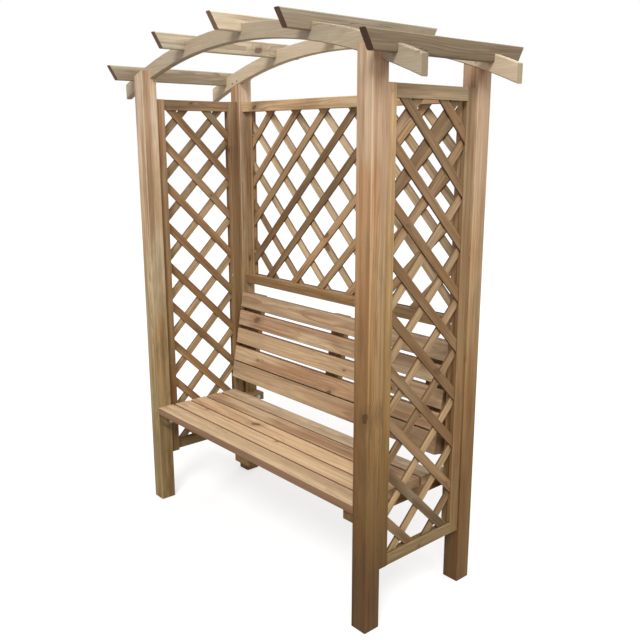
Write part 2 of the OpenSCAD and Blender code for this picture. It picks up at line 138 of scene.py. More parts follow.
def blend_colour(tree, share, first, second, kind="MIX"):
    """share of 0 gives the first colour, 1 the second."""
    node = add_node(tree, "Mix", share, data_type="RGBA", blend_type=kind)
    colours = [s for s in node.inputs if s.type == "RGBA"]
    plug(tree, first, colours[0])
    plug(tree, second, colours[1])
    return [s for s in node.outputs if s.type == "RGBA"][0]


def mix_shaders(tree, share, first, second):
    return add_node(tree, "MixShader", share, first, second).outputs[0]


print("helpers for nodes:", ", ".join(f.__name__ for f in (add_node, calc, blend_colour)))

# %% [markdown]
# The world adds a pale glow that is strong overhead and weak below the horizon,
# so undersides stay dark as they do on a lawn. The background is white only
# where it is looked at straight, in a mirror or through glass, so its white
# adds no light to the wood.

# %% Sky and background
SKY_GLOW, GROUND_GLOW = 0.85, 0.30
GLOW_STARTS, GLOW_FULL = -0.2, 0.6
SKY_TINT = (1.0, 0.98, 0.95, 1)
WHITE = (1, 1, 1, 1)


def seen_directly(tree):
    """1 where the camera sees a surface straight, in a mirror or through glass."""
    rays = add_node(tree, "LightPath").outputs
    either = calc(tree, "MAXIMUM", rays["Is Camera Ray"], rays["Is Glossy Ray"])
    return calc(tree, "MAXIMUM", either, rays["Is Transmission Ray"])


def dress_world(tree):
    tree.nodes.clear()
    way = add_node(tree, "TexCoord").outputs["Generated"]
    height = add_node(tree, "SeparateXYZ", way).outputs["Z"]
    strength = add_node(tree, "MapRange", height, GLOW_STARTS, GLOW_FULL, GROUND_GLOW, SKY_GLOW)
    glow = add_node(tree, "Background", SKY_TINT, strength.outputs["Result"])
    white = add_node(tree, "Background", WHITE)
    sky = mix_shaders(tree, seen_directly(tree), glow.outputs[0], white.outputs[0])
    add_node(tree, "OutputWorld", sky)


world = bpy.data.worlds.new("pale_sky")
world.use_nodes = True
scene.world = world
dress_world(world.node_tree)
print("sky of", len(world.node_tree.nodes), "nodes")

# %% [markdown]
# The floor is a plain pale sheet under the feet. It keeps the soft shadow of
# the bench, and fades into the white of the background. For light that bounces
# off it towards the wood it is as dark as grass, which keeps the undersides of
# the boards in shade.

# %% Floor
FLOOR_REACH = 14.0
FLOOR_CELLS = 8
FLOOR_COLOUR = (0.95, 0.95, 0.94, 1)
FLOOR_BOUNCE = (0.30, 0.29, 0.27, 1)
FLOOR_WHITE = 0.62


def new_material(name):
    material = bpy.data.materials.new(name)
    material.use_nodes = True
    material.node_tree.nodes.clear()
    return material, material.node_tree


def floor_material():
    material, tree = new_material("pale_floor")
    seen = seen_directly(tree)
    matt = add_node(tree, "BsdfDiffuse", blend_colour(tree, seen, FLOOR_BOUNCE, FLOOR_COLOUR))
    glow = add_node(tree, "Emission")
    faded = mix_shaders(tree, times(tree, seen, FLOOR_WHITE), matt.outputs[0], glow.outputs[0])
    add_node(tree, "OutputMaterial", faded)
    return material


def add_mesh(name, build):
    """Turns what was built into an object of that name in the scene."""
    mesh = bpy.data.meshes.new(name)
    build.to_mesh(mesh)
    build.free()
    piece = bpy.data.objects.new(name, mesh)
    scene.collection.objects.link(piece)
    return piece


sheet = bmesh.new()
bmesh.ops.create_grid(sheet, x_segments=FLOOR_CELLS, y_segments=FLOOR_CELLS, size=FLOOR_REACH)
floor = add_mesh("floor", sheet)
floor.data.materials.append(floor_material())
print("floor:", 2 * FLOOR_REACH, "m wide,", len(floor.data.polygons), "faces")

# %% [markdown]
# A node group is a small recipe that many materials can share. One helper makes
# a group with named sockets, one hands its results over, and one places a group
# inside another net. A socket such as Half Size is called Half_Size there,
# because names in Python hold no blanks.

# %% Helpers for node groups
KINDS = {"value": "NodeSocketFloat", "vector": "NodeSocketVector", "colour": "NodeSocketColor"}


def new_group(name, takes, gives):
    """takes is a list of (name, kind, default), gives a list of (name, kind)."""
    group = bpy.data.node_groups.new(name, "ShaderNodeTree")
    for label, kind, default in takes:
        socket = group.interface.new_socket(label, in_out="INPUT", socket_type=KINDS[kind])
        socket.default_value = default
    for label, kind in gives:
        group.interface.new_socket(label, in_out="OUTPUT", socket_type=KINDS[kind])
    given = group.nodes.new("NodeGroupInput").outputs
    return group, given, group.nodes.new("NodeGroupOutput").inputs


def give(tree, out, **values):
    for name, value in values.items():
        tree.links.new(value, out[name.replace("_", " ")])


def place_group(tree, group, **links):
    node = add_node(tree, "Group", node_tree=group)
    for name, value in links.items():
        plug(tree, value, node.inputs[name.replace("_", " ")])
    return node


print("a group's sockets carry a", ", a ".join(KINDS))

# %% [markdown]
# Patterns in wood are sums done on a point's place. These helpers take a place
# apart, put it together, turn it into smooth noise or into chance, and make a
# number a mask that runs softly from 0 to 1.

# %% Helpers for patterns
def vector_calc(tree, operation, *values):
    node = add_node(tree, "VectorMath", *values, operation=operation)
    return node.outputs["Value" if operation in ("LENGTH", "DOT_PRODUCT") else "Vector"]


def split(tree, vector):
    return add_node(tree, "SeparateXYZ", vector).outputs


def join(tree, x, y, z):
    return add_node(tree, "CombineXYZ", x, y, z).outputs[0]


def step(tree, value, low, high):
    """0 below low, 1 above high and smooth between, also with low above high."""
    node = add_node(tree, "MapRange", value, low, high, interpolation_type="SMOOTHSTEP")
    return node.outputs["Result"]


def noise(tree, vector, detail=2.0, rough=0.5, scale=1.0):
    node = add_node(tree, "TexNoise", vector)
    for name, value in (("Scale", scale), ("Detail", detail), ("Roughness", rough)):
        node.inputs[name].default_value = value
    return node.outputs["Fac"]


def chance(tree, vector):
    """An even random number from 0 to 1, and three of them as a vector."""
    node = add_node(tree, "TexWhiteNoise", vector, noise_dimensions="3D")
    return node.outputs["Value"], node.outputs["Color"]


print("helpers for patterns:", ", ".join(f.__name__ for f in (split, join, step, noise, chance)))

# %% [markdown]
# A board is cut out of a trunk, so its pattern is a slice through the trunk's
# rings. The recipe does the same: it measures how far each point lies from an
# imagined pith somewhere beside the board, and turns that distance into rings.
# Because the pith bends a little along the trunk, the flat faces get the
# familiar flames, and the cut ends get true arcs, with no extra work. The same
# distance also tells heartwood from sapwood, the younger wood near the bark,
# which is paler and takes up more of the greenish treatment.
# Every measure inside a board uses its own axes: X runs along the grain, Y
# across the width and Z through the thickness, in metres from its middle.

# %% Growth rings
PITH_SPAN = 0.09
PITH_LEAST, PITH_DEPTH = 0.02, 0.055
PITH_DRAW = (3.1, 7.7)
BEND_ALONG, BEND_ACROSS, BEND_REACH = 1.1, 3.0, 0.08
BEND_SHIFT, BEND_NOISE = 5.3, (1.5, 0.4)
RIPPLE_ALONG, RIPPLE_ACROSS, RIPPLE_REACH = 6.0, 14.0, 0.006
KNOT_SWELL = 0.012
LATE_STARTS, LATE_FULL, LATE_STOPS = 0.25, 0.86, 0.92
HEART_LEAST, HEART_SPAN, HEART_BLEND = 0.035, 0.06, 0.008


def make_ring_group():
    tree, given, out = new_group(
        "growth_rings",
        [("Vector", "vector", (0, 0, 0)), ("Seed", "value", 0.0),
         ("Ring Width", "value", 0.005), ("Swell", "value", 0.0)],
        [("Late Wood", "value"), ("Ring Tone", "value"), ("Sapwood", "value")])
    seed = given["Seed"]
    x, y, z = split(tree, given["Vector"])
    beside, below, heart_luck = split(tree, chance(tree, join(tree, seed, *PITH_DRAW))[1])
    pith_y = calc(tree, "MULTIPLY_ADD", beside, PITH_SPAN, -PITH_SPAN / 2)
    pith_z = calc(tree, "MULTIPLY_ADD", below, PITH_DEPTH, PITH_LEAST)
    bend_way = join(tree, calc(tree, "MULTIPLY_ADD", x, BEND_ALONG, times(tree, seed, BEND_SHIFT)),
                    times(tree, y, BEND_ACROSS), seed)
    bend = calc(tree, "SUBTRACT", noise(tree, bend_way, *BEND_NOISE), 0.5)
    ripple_way = join(tree, calc(tree, "MULTIPLY_ADD", x, RIPPLE_ALONG, seed),
                      times(tree, y, RIPPLE_ACROSS), times(tree, z, RIPPLE_ACROSS))
    ripple = calc(tree, "SUBTRACT", noise(tree, ripple_way), 0.5)
    across = calc(tree, "SUBTRACT", y, pith_y)
    through = calc(tree, "MULTIPLY_ADD", bend, BEND_REACH, calc(tree, "ADD", z, pith_z))
    away = vector_calc(tree, "LENGTH", join(tree, across, through, 0.0))
    away = calc(tree, "MULTIPLY_ADD", ripple, RIPPLE_REACH, away)
    away = calc(tree, "MULTIPLY_ADD", given["Swell"], KNOT_SWELL, away)
    rings = calc(tree, "DIVIDE", away, given["Ring Width"])
    part = calc(tree, "FRACT", rings)
    late = times(tree, step(tree, part, LATE_STARTS, LATE_FULL), step(tree, part, 1.0, LATE_STOPS))
    tone = chance(tree, join(tree, calc(tree, "FLOOR", rings), seed, 0.0))[0]
    heart = calc(tree, "MULTIPLY_ADD", heart_luck, HEART_SPAN, HEART_LEAST)
    sap = step(tree, away, heart, calc(tree, "ADD", heart, HEART_BLEND))
    give(tree, out, Late_Wood=late, Ring_Tone=tone, Sapwood=sap)
    return tree


ring_group = make_ring_group()
print("growth rings:", len(ring_group.nodes), "nodes")

# %% [markdown]
# A knot is the foot of a branch. The board's length is cut into equal cells,
# and chance says for each cell whether it holds a knot, where, and how big. The
# distance from the knot's middle is measured in sizes of the knot, so 1 is its
# edge. The group gives the dark core, its rim, and a wide halo. The halo also
# goes to the rings, which then flow around the knot as they do in a real tree.

# %% Knots
KNOT_CELL, KNOT_SHIFT, KNOT_ROOM = 0.26, 1.7, 0.5
KNOT_LEAST, KNOT_SPAN = 0.0032, 0.009
KNOT_STRETCH = 0.6
KNOT_BAND = 0.85
WOBBLE_SCALE, WOBBLE_REACH = 70.0, 1.1
CORE_EDGE, HALO_EDGE = (1.0, 0.75), (4.5, 0.8)
RIM_OUTSIDE, RIM_INSIDE = (1.35, 1.0), (0.65, 0.95)


def make_knot_group():
    tree, given, out = new_group(
        "knots",
        [("Vector", "vector", (0, 0, 0)), ("Seed", "value", 0.0), ("Amount", "value", 0.5),
         ("Half Width", "value", 0.04)],
        [("Core", "value"), ("Rim", "value"), ("Halo", "value")])
    seed = given["Seed"]
    x, y = split(tree, given["Vector"])[:2]
    place = calc(tree, "ADD", calc(tree, "DIVIDE", x, KNOT_CELL), times(tree, seed, KNOT_SHIFT))
    luck, lucks = chance(tree, join(tree, calc(tree, "FLOOR", place), seed, 1.0))
    jump_x, jump_y, size_luck = split(tree, lucks)
    middle = calc(tree, "MULTIPLY_ADD", jump_x, KNOT_ROOM, (1 - KNOT_ROOM) / 2)
    along = times(tree, calc(tree, "SUBTRACT", calc(tree, "FRACT", place), middle),
                  KNOT_CELL * KNOT_STRETCH)
    home = times(tree, calc(tree, "MULTIPLY_ADD", jump_y, 2 * KNOT_BAND, -KNOT_BAND),
                 given["Half Width"])
    lean = times(tree, along, calc(tree, "SUBTRACT", jump_x, 0.5))
    across = calc(tree, "ADD", calc(tree, "SUBTRACT", y, home), lean)
    wobble_way = vector_calc(tree, "ADD", given["Vector"], join(tree, seed, 0.0, 0.0))
    wobble = calc(tree, "SUBTRACT", noise(tree, wobble_way, 1.0, scale=WOBBLE_SCALE), 0.5)
    size = calc(tree, "MULTIPLY_ADD", calc(tree, "POWER", size_luck, 2.0), KNOT_SPAN, KNOT_LEAST)
    far = calc(tree, "DIVIDE", vector_calc(tree, "LENGTH", join(tree, along, across, 0.0)), size)
    far = calc(tree, "MULTIPLY_ADD", wobble, WOBBLE_REACH, far)
    there = calc(tree, "LESS_THAN", luck, given["Amount"])
    rim = times(tree, step(tree, far, *RIM_OUTSIDE), step(tree, far, *RIM_INSIDE))
    give(tree, out, Core=times(tree, step(tree, far, *CORE_EDGE), there),
         Rim=times(tree, rim, there), Halo=times(tree, step(tree, far, *HALO_EDGE), there))
    return tree


knot_group = make_knot_group()
print("knots: one chance in every", KNOT_CELL, "m of a board")

# %% [markdown]
# Between the rings, planed wood is full of fine fibres, and the treatment soaks
# in unevenly along them. Noise that is stretched along the grain gives both. A
# row of the table says how close a pattern is along and across the grain, its
# own shift, its detail and roughness, and between which values it comes to
# show. The rows are fine fibres, long streaks, bands as wide as a finger,
# patches where a board stayed pale, the thin grey-green film of algae on shaded
# wood, and stains from running water. Thin dark cracks open where wood dried.

# %% Fibres, streaks and cracks
Fibre = collections.namedtuple("Fibre", "along across shift detail rough shows")
FIBRES = {
    "Fine": Fibre(9.0, 420.0, 3.0, 3.0, 0.60, None),
    "Streak": Fibre(1.6, 70.0, 11.0, 3.0, 0.55, (0.42, 0.66)),
    "Band": Fibre(0.8, 34.0, 17.0, 1.0, 0.50, (0.46, 0.60)),
    "Patch": Fibre(2.2, 9.0, 23.0, 2.0, 0.50, (0.45, 0.62)),
    "Algae": Fibre(4.5, 16.0, 53.0, 4.0, 0.65, (0.50, 0.68)),
    "Stain": Fibre(2.6, 24.0, 61.0, 3.0, 0.60, (0.50, 0.66)),
}
CRACK_LINES = Fibre(3.5, 130.0, 31.0, 1.0, 0.40, None)
CRACK_ZONES = Fibre(3.0, 20.0, 41.0, 1.0, 0.40, (0.60, 0.68))
CRACK_WIDTH = 0.012


def make_fibre_group():
    tree, given, out = new_group(
        "fibres", [("Vector", "vector", (0, 0, 0)), ("Seed", "value", 0.0)],
        [(name, "value") for name in list(FIBRES) + ["Crack"]])
    seed = given["Seed"]
    x, y, z = split(tree, given["Vector"])

    def stretched(row):
        moved = calc(tree, "MULTIPLY_ADD", x, row.along, times(tree, seed, row.shift))
        place = join(tree, moved, times(tree, y, row.across), times(tree, z, row.across))
        pattern = noise(tree, place, row.detail, row.rough)
        return step(tree, pattern, *row.shows) if row.shows else pattern

    give(tree, out, **{name: stretched(row) for name, row in FIBRES.items()})
    line = calc(tree, "ABSOLUTE", calc(tree, "SUBTRACT", stretched(CRACK_LINES), 0.5))
    give(tree, out, Crack=times(tree, step(tree, line, CRACK_WIDTH, 0.0), stretched(CRACK_ZONES)))
    return tree


fibre_group = make_fibre_group()
print("fibres:", ", ".join(FIBRES))

# %% [markdown]
# Hands, rain and the planer wear the edges of a board first, so they look
# paler. Half Size is half the board's length, width and thickness: with it, the
# distance from a point to the nearest edge is plain arithmetic. The cut ends
# show open pores, drink more of the treatment and stay darker; on the rafters,
# whose ends face down, that dark is partly painted shade. The narrow sides get
# painted shade, as if they always faced away from the light. Which way a face
# looks, along the grain or along the width, tells ends and sides apart.

# %% Edges and ends
WEAR_LEAST, WEAR_SPAN = 0.0005, 0.011
WEAR_NOISE, WEAR_SCALE = (3.0, 0.6), 14.0
END_FACES, SIDE_FACES = (0.72, 0.88), (0.35, 0.90)


def make_edge_group():
    tree, given, out = new_group(
        "edges_and_ends",
        [("Vector", "vector", (0, 0, 0)), ("Half Size", "vector", (1, 1, 1)),
         ("Grain Way", "vector", (1, 0, 0)), ("Width Way", "vector", (0, 1, 0)),
         ("Seed", "value", 0.0)],
        [("Edge", "value"), ("End", "value"), ("Side", "value")])
    from_faces = vector_calc(tree, "SUBTRACT", given["Half Size"],
                             vector_calc(tree, "ABSOLUTE", given["Vector"]))
    y, z = split(tree, from_faces)[1:]
    wear_way = vector_calc(tree, "ADD", given["Vector"], join(tree, given["Seed"], 0.0, 0.0))
    worn = noise(tree, wear_way, *WEAR_NOISE, scale=WEAR_SCALE)
    reach = calc(tree, "MULTIPLY_ADD", worn, WEAR_SPAN, WEAR_LEAST)
    normal = add_node(tree, "NewGeometry").outputs["Normal"]

    def looks_along(way, band):
        alike = vector_calc(tree, "DOT_PRODUCT", normal, given[way])
        return step(tree, calc(tree, "ABSOLUTE", alike), *band)

    # Side marks the narrow sides, which get painted shade.
    give(tree, out, Edge=step(tree, calc(tree, "MAXIMUM", y, z), reach, 0.0),
         End=looks_along("Grain Way", END_FACES), Side=looks_along("Width Way", SIDE_FACES))
    return tree


edge_group = make_edge_group()
print("edges and ends:", len(edge_group.nodes), "nodes")

# %% [markdown]
# The colour of fresh wood lies between two colours, the soft early wood and the
# denser late wood of each ring. Streaks and bands darken it towards the late
# wood. The tint of the treatment goes over pale patches and sapwood, and less
# over what is dark already.

# %% Fresh wood
RING_CONTRAST = 0.6
BAND_SHARE = 0.75
SAP_SHARE = 0.85
TINT_LOSS = 0.6


def fresh_wood(tree, given, rings, fibres):
    """The colour of a board without weather, and how dense its rings are."""
    tone = calc(tree, "MULTIPLY_ADD", rings["Ring Tone"], RING_CONTRAST, 1 - RING_CONTRAST)
    late = times(tree, times(tree, rings["Late Wood"], tone), given["Ring Share"])
    streak = calc(tree, "MAXIMUM", fibres["Streak"], times(tree, fibres["Band"], BAND_SHARE))
    dark = calc(tree, "MAXIMUM", late, times(tree, streak, given["Streak Share"]))
    colour = blend_colour(tree, dark, given["Early Colour"], given["Late Colour"])
    tint = calc(tree, "MAXIMUM", fibres["Patch"], times(tree, rings["Sapwood"], SAP_SHARE))
    tint = times(tree, tint, given["Tint Share"])
    tint = times(tree, tint, calc(tree, "SUBTRACT", 1.0, times(tree, dark, TINT_LOSS)))
    return blend_colour(tree, tint, colour, given["Tint Colour"]), late


print("sapwood takes", SAP_SHARE, "of the tint of a pale patch")

# %% [markdown]
# Weather comes in layers too, and the order matters: water stains first, then
# algae, which grow more low down where the wood is damp, then the fine fibres
# over both. On these lie worn edges, knots, cracks, the narrow sides darkened as
# painted shade, and dark ends, on the rafters partly painted shade. Last comes a
# darkening towards the ground: partly the damp that the feet draw up, partly
# painted shade on the low parts. Wet wood loses blue first, so the power is
# highest there, and the wood turns darker and warmer at once.
# Knots have one brown for all boards, written as it looks on a screen, and
# shade turns such a colour into the linear values that a shader works with.

# %% Weather
def shade(red, green, blue):
    """A screen colour from 0 to 255 as linear red, green, blue and alpha."""
    def linear(value):
        value /= 255
        return value / 12.92 if value <= 0.04045 else ((value + 0.055) / 1.055) ** 2.4
    return (linear(red), linear(green), linear(blue), 1.0)


KNOT_BROWN = shade(84, 50, 32)
ALGAE_GREEN = (0.23, 0.22, 0.14, 1)
ALGAE_IN_DAMP = 0.45
FIBRE_CONTRAST, FIBRE_DARKEST = 0.60, 0.70
HALO_SHARE, CORE_SHARE, RIM_SHARE, CRACK_SHARE = 0.4, 0.62, 0.6, 0.75
DAMP_AND_SHADE_GREEN, DAMP_AND_SHADE_BLUE = 1.20, 1.85


def weathered(tree, given, colour, damp_and_shade, fibres, knots, edges):
    """Lays the weather and the painted shade over a colour, one layer after another."""
    def lay(mask, share, over):
        return blend_colour(tree, times(tree, mask, share), colour, over)

    colour = lay(fibres["Stain"], given["Stain Share"], given["Side Shade And Stain Colour"])
    algae_share = calc(tree, "MULTIPLY_ADD", damp_and_shade, ALGAE_IN_DAMP, given["Algae Share"])
    colour = lay(fibres["Algae"], algae_share, ALGAE_GREEN)
    tone = calc(tree, "MULTIPLY_ADD", fibres["Fine"], FIBRE_CONTRAST, FIBRE_DARKEST)
    colour = blend_colour(tree, 1.0, colour, join(tree, tone, tone, tone), "MULTIPLY")
    colour = lay(edges["Edge"], given["Edge Share"], given["Edge Colour"])
    colour = lay(knots["Halo"], HALO_SHARE, given["Late Colour"])
    colour = lay(knots["Core"], CORE_SHARE, KNOT_BROWN)
    colour = lay(knots["Rim"], RIM_SHARE, KNOT_BROWN)
    colour = lay(fibres["Crack"], CRACK_SHARE, KNOT_BROWN)
    # Painted shade on the narrow sides, such as the front of the seat and the sides of the slats.
    colour = lay(edges["Side"], given["Side Shade Share"], given["Side Shade And Stain Colour"])
    # Dark ends: end grain, and on the rafters partly painted shade.
    colour = lay(edges["End"], given["End Share"], given["End Colour"])
    # Painted shade and damp: the wood darkens towards the ground, partly damp and partly shade on
    # the low parts.
    dry_and_lit = calc(tree, "SUBTRACT", 1.0, damp_and_shade)
    soaked_and_shaded = join(tree, dry_and_lit, calc(tree, "POWER", dry_and_lit, DAMP_AND_SHADE_GREEN),
                  calc(tree, "POWER", dry_and_lit, DAMP_AND_SHADE_BLUE))
    return blend_colour(tree, 1.0, colour, soaked_and_shaded, "MULTIPLY")


print("linear knot brown:", [round(part, 3) for part in KNOT_BROWN[:3]])

# %% [markdown]
# This group puts the others together. It gives a colour, a roughness and a
# height, and leaves the shader itself to each material. Fibres and cut ends are
# rougher than the dense late wood. Late wood stands proud of the soft wood that
# the rain has washed out, and cracks and the rims of knots are sunk. A board's
# sockets are listed once, beside the short names that its palette will use.

# %% Softwood
WOOD_COLOURS = {"early": "Early Colour", "late": "Late Colour", "tint": "Tint Colour",
                "edge": "Edge Colour", "end": "End Colour", "side": "Side Shade And Stain Colour"}
WOOD_VALUES = {"rings": "Ring Share", "streaks": "Streak Share", "tints": "Tint Share",
               "edges": "Edge Share", "ends": "End Share", "algae": "Algae Share",
               "stains": "Stain Share", "sides": "Side Shade Share", "ring_width": "Ring Width",
               "knots": "Knot Amount", "damp_and_shade": "Damp And Shade"}
DAMP_AND_SHADE_TOP = 2.2
ROUGH_USUAL, ROUGH_FINE, ROUGH_END, ROUGH_LATE = 0.60, 0.16, 0.12, -0.08
HIGH_FINE, HIGH_LATE, HIGH_CRACK, HIGH_RIM = 0.45, 0.5, -1.6, -0.7


def summed(tree, start, *parts):
    """start plus each value times its weight."""
    for value, weight in parts:
        start = calc(tree, "MULTIPLY_ADD", value, weight, start)
    return start


def make_softwood_group():
    tree, given, out = new_group(
        "softwood",
        [("Vector", "vector", (0, 0, 0)), ("Half Size", "vector", (1, 1, 1)),
         ("Grain Way", "vector", (1, 0, 0)), ("Width Way", "vector", (0, 1, 0)),
         ("Seed", "value", 0.0), ("Height", "value", 1.0)]
        + [(name, "colour", (0.3, 0.2, 0.1, 1)) for name in WOOD_COLOURS.values()]
        + [(name, "value", 0.5) for name in WOOD_VALUES.values()],
        [("Color", "colour"), ("Roughness", "value"), ("Relief", "value")])
    at = dict(Vector=given["Vector"], Seed=given["Seed"])
    knots = place_group(tree, knot_group, **at, Amount=given["Knot Amount"],
                        Half_Width=split(tree, given["Half Size"])[1]).outputs
    rings = place_group(tree, ring_group, **at, Ring_Width=given["Ring Width"],
                        Swell=knots["Halo"]).outputs
    fibres = place_group(tree, fibre_group, **at).outputs
    edges = place_group(tree, edge_group, **at, Half_Size=given["Half Size"],
                        Grain_Way=given["Grain Way"], Width_Way=given["Width Way"]).outputs
    # Painted shade and damp: darker from 2.2 m down to the ground.
    damp_and_shade = times(tree, step(tree, given["Height"], DAMP_AND_SHADE_TOP, 0.0), given["Damp And Shade"])
    colour, late = fresh_wood(tree, given, rings, fibres)
    give(tree, out, Color=weathered(tree, given, colour, damp_and_shade, fibres, knots, edges),
         Roughness=summed(tree, ROUGH_USUAL, (fibres["Fine"], ROUGH_FINE),
                          (edges["End"], ROUGH_END), (late, ROUGH_LATE)),
         Relief=summed(tree, 0.0, (fibres["Fine"], HIGH_FINE), (late, HIGH_LATE),
                       (fibres["Crack"], HIGH_CRACK), (knots["Rim"], HIGH_RIM)))
    return tree


softwood_group = make_softwood_group()
print("softwood recipe:", len(softwood_group.nodes), "nodes")

# %% [markdown]
# Each kind of timber in the pergola has its own palette. It holds six screen
# colours, then shares from 0 to 1 that say how strongly each pattern shows, the
# width of a ring in metres, the chance of a knot, and how dark the foot is,
# partly from damp and partly as painted shade. The arches are pale, the posts are
# streaky and tan, the rafters are greyish, and the slats are streakier still,
# with brown sides that are painted shade.

# %% Palettes
PALETTES = {
    "post": dict(
        early=(210, 171, 135), late=(132, 86, 56), tint=(216, 198, 176),
        edge=(212, 192, 162), end=(140, 116, 84), side=(132, 86, 56),
        rings=0.75, streaks=0.7, tints=0.6, algae=0.16, stains=0.35, edges=0.45,
        ends=0.6, ring_width=0.0052, knots=0.25, sides=0.0, damp_and_shade=0.76),
    "arch": dict(
        early=(212, 192, 164), late=(160, 132, 104), tint=(192, 180, 158),
        edge=(224, 208, 184), end=(150, 134, 106), side=(138, 110, 84),
        rings=0.36, streaks=0.28, tints=0.45, algae=0.12, stains=0.12, edges=0.5,
        ends=0.75, ring_width=0.006, knots=0.2, sides=0.12, damp_and_shade=0.0),
    # The rafters' ends face down, so their dark end colour is partly end grain and partly painted
    # shade.
    "rafter": dict(
        early=(190, 170, 142), late=(120, 94, 70), tint=(176, 168, 144),
        edge=(208, 194, 168), end=(106, 70, 54), side=(120, 90, 66),
        rings=0.6, streaks=0.6, tints=0.5, algae=0.2, stains=0.25, edges=0.5,
        ends=0.9, ring_width=0.0055, knots=0.18, sides=0.0, damp_and_shade=0.0),
    "frame": dict(
        early=(184, 150, 114), late=(112, 78, 48), tint=(168, 154, 124),
        edge=(196, 170, 134), end=(120, 96, 66), side=(103, 69, 43),
        rings=0.55, streaks=0.7, tints=0.5, algae=0.15, stains=0.35, edges=0.35,
        ends=0.6, ring_width=0.005, knots=0.2, sides=0.15, damp_and_shade=0.45),
    # The slats' dark sides are painted shade.
    "slat": dict(
        early=(208, 173, 134), late=(114, 83, 47), tint=(198, 174, 140),
        edge=(140, 108, 72), end=(110, 82, 54), side=(86, 58, 33),
        rings=0.7, streaks=0.9, tints=0.3, algae=0.08, stains=0.45, edges=0.5,
        ends=0.5, ring_width=0.0045, knots=0.12, sides=0.8, damp_and_shade=0.15),
    # The boards' dark sides, such as the front of the seat, are painted shade.
    "board": dict(
        early=(186, 150, 116), late=(116, 79, 52), tint=(208, 186, 150),
        edge=(200, 172, 136), end=(150, 122, 88), side=(106, 70, 46),
        rings=0.65, streaks=0.65, tints=0.6, algae=0.1, stains=0.25, edges=0.4,
        ends=0.5, ring_width=0.0058, knots=0.22, sides=0.8, damp_and_shade=0.0),
}
for palette in PALETTES.values():
    for key in WOOD_COLOURS:
        palette[key] = shade(*palette[key])
print("palettes:", ", ".join(PALETTES))

# %% [markdown]
# No two boards come from the same tree. The boards that stand out in the
# photograph, such as the dark rafter on the right, get their tone by name: how
# light they are against their palette, and how warm. The backrest's cleats are
# lighter as painted light, since they sit in shade between the boards. The feet
# of three uprights are darker than their palette says, or less dark: partly
# damp, partly painted shade.

# %% Boards that stand out
BOARD_TONES = {
    "post_front_left": (1.55, -0.12), "post_front_right": (1.06, 0.01),
    "post_rear_left": (1.12, -0.05), "post_rear_right": (0.92, 0.0),
    "arch_front": (0.83, -0.02), "arch_rear": (1.02, -0.02),
    "rafter_1": (1.06, -0.04), "rafter_2": (1.28, -0.09), "rafter_3": (1.85, -0.07),
    "rafter_4": (0.86, -0.03), "rafter_5": (0.44, 0.12),
    "back_panel_rail_top": (1.72, -0.02), "back_panel_rail_bottom": (0.98, 0.03),
    "right_panel_rail_top": (1.08, -0.06), "right_panel_rail_bottom": (1.10, -0.12),
    "left_panel_rail_top": (0.78, 0.03), "left_panel_stile_rear": (0.80, 0.05),
    "left_panel_stile_front": (1.2, 0.0), "right_panel_stile_rear": (0.84, 0.04),
    "right_panel_stile_front": (1.9, -0.02), "seat_board_1": (1.08, 0.0),
    "seat_board_2": (1.14, -0.02), "seat_board_3": (1.16, 0.0), "seat_board_4": (1.06, 0.02),
    "seat_board_5": (0.96, -0.02), "backrest_board_1": (0.90, 0.0),
    # The cleats are made lighter as painted light, against the shade they sit in.
    "backrest_board_4": (1.06, 0.0), "backrest_cleat_left": (1.5, 0.0),
    "backrest_cleat_middle": (1.5, 0.0), "backrest_cleat_right": (1.3, 0.0),
}
# The feet of these uprights are darker or less dark than their palette: partly damp, partly
# painted shade.
BOARD_DAMP_AND_SHADE = {"post_front_left": 0.64, "post_front_right": 0.86, "right_panel_stile_front": 0.86}
print(len(BOARD_TONES), "boards have a tone of their own")

# %% [markdown]
# The shader takes its colour, its roughness and its height from a recipe, and
# the height becomes bumps. Bumps only turn the light, so they suit what is
# finer than a millimetre, like fibres and scratches. Wood shines less than the
# shader does by itself, so its share of shine is lowered.

# %% Wood shader
WOOD_SHINE = 0.32
BUMP_STRENGTH, BUMP_DEPTH = 0.55, 0.0009


def add_shader(tree, colour, rough, height, depth, strength=1.0):
    """The shader itself, with a bump of that depth, on the material's output."""
    bump = add_node(tree, "Bump")
    shader = add_node(tree, "BsdfPrincipled")
    for node, name, value in ((bump, "Strength", strength), (bump, "Distance", depth),
                              (bump, "Height", height), (shader, "Base Color", colour),
                              (shader, "Roughness", rough), (shader, "Normal", bump.outputs[0])):
        plug(tree, value, node.inputs[name])
    add_node(tree, "OutputMaterial", shader.outputs[0])
    return shader


def finish_wood(tree, recipe):
    shader = add_shader(tree, *recipe.outputs, BUMP_DEPTH, BUMP_STRENGTH)
    shader.inputs["Specular IOR Level"].default_value = WOOD_SHINE


print("bumps on wood are up to", BUMP_DEPTH, "m deep")

# %% [markdown]
# A wood material feeds the shared recipe with one board's own measures: where
# its middle is, which way its grain runs and how large it is. Luck drawn from
# the board's name makes its pattern its own and shifts its colour a little. The
# same name always draws the same luck, so the picture can be made again.

# %% Wood material
TONE_SPREAD, WARM_SPREAD = 0.07, 0.03
SEED_RANGE = (1, 40)


def board_luck(name):
    return random.Random("timber " + name)


def toned(colour, tone, warm):
    """A colour made lighter or darker, and warmer or cooler."""
    return (min(1, colour[0] * tone * (1 + warm)), min(1, colour[1] * tone),
            min(1, colour[2] * tone * (1 - warm)), 1.0)


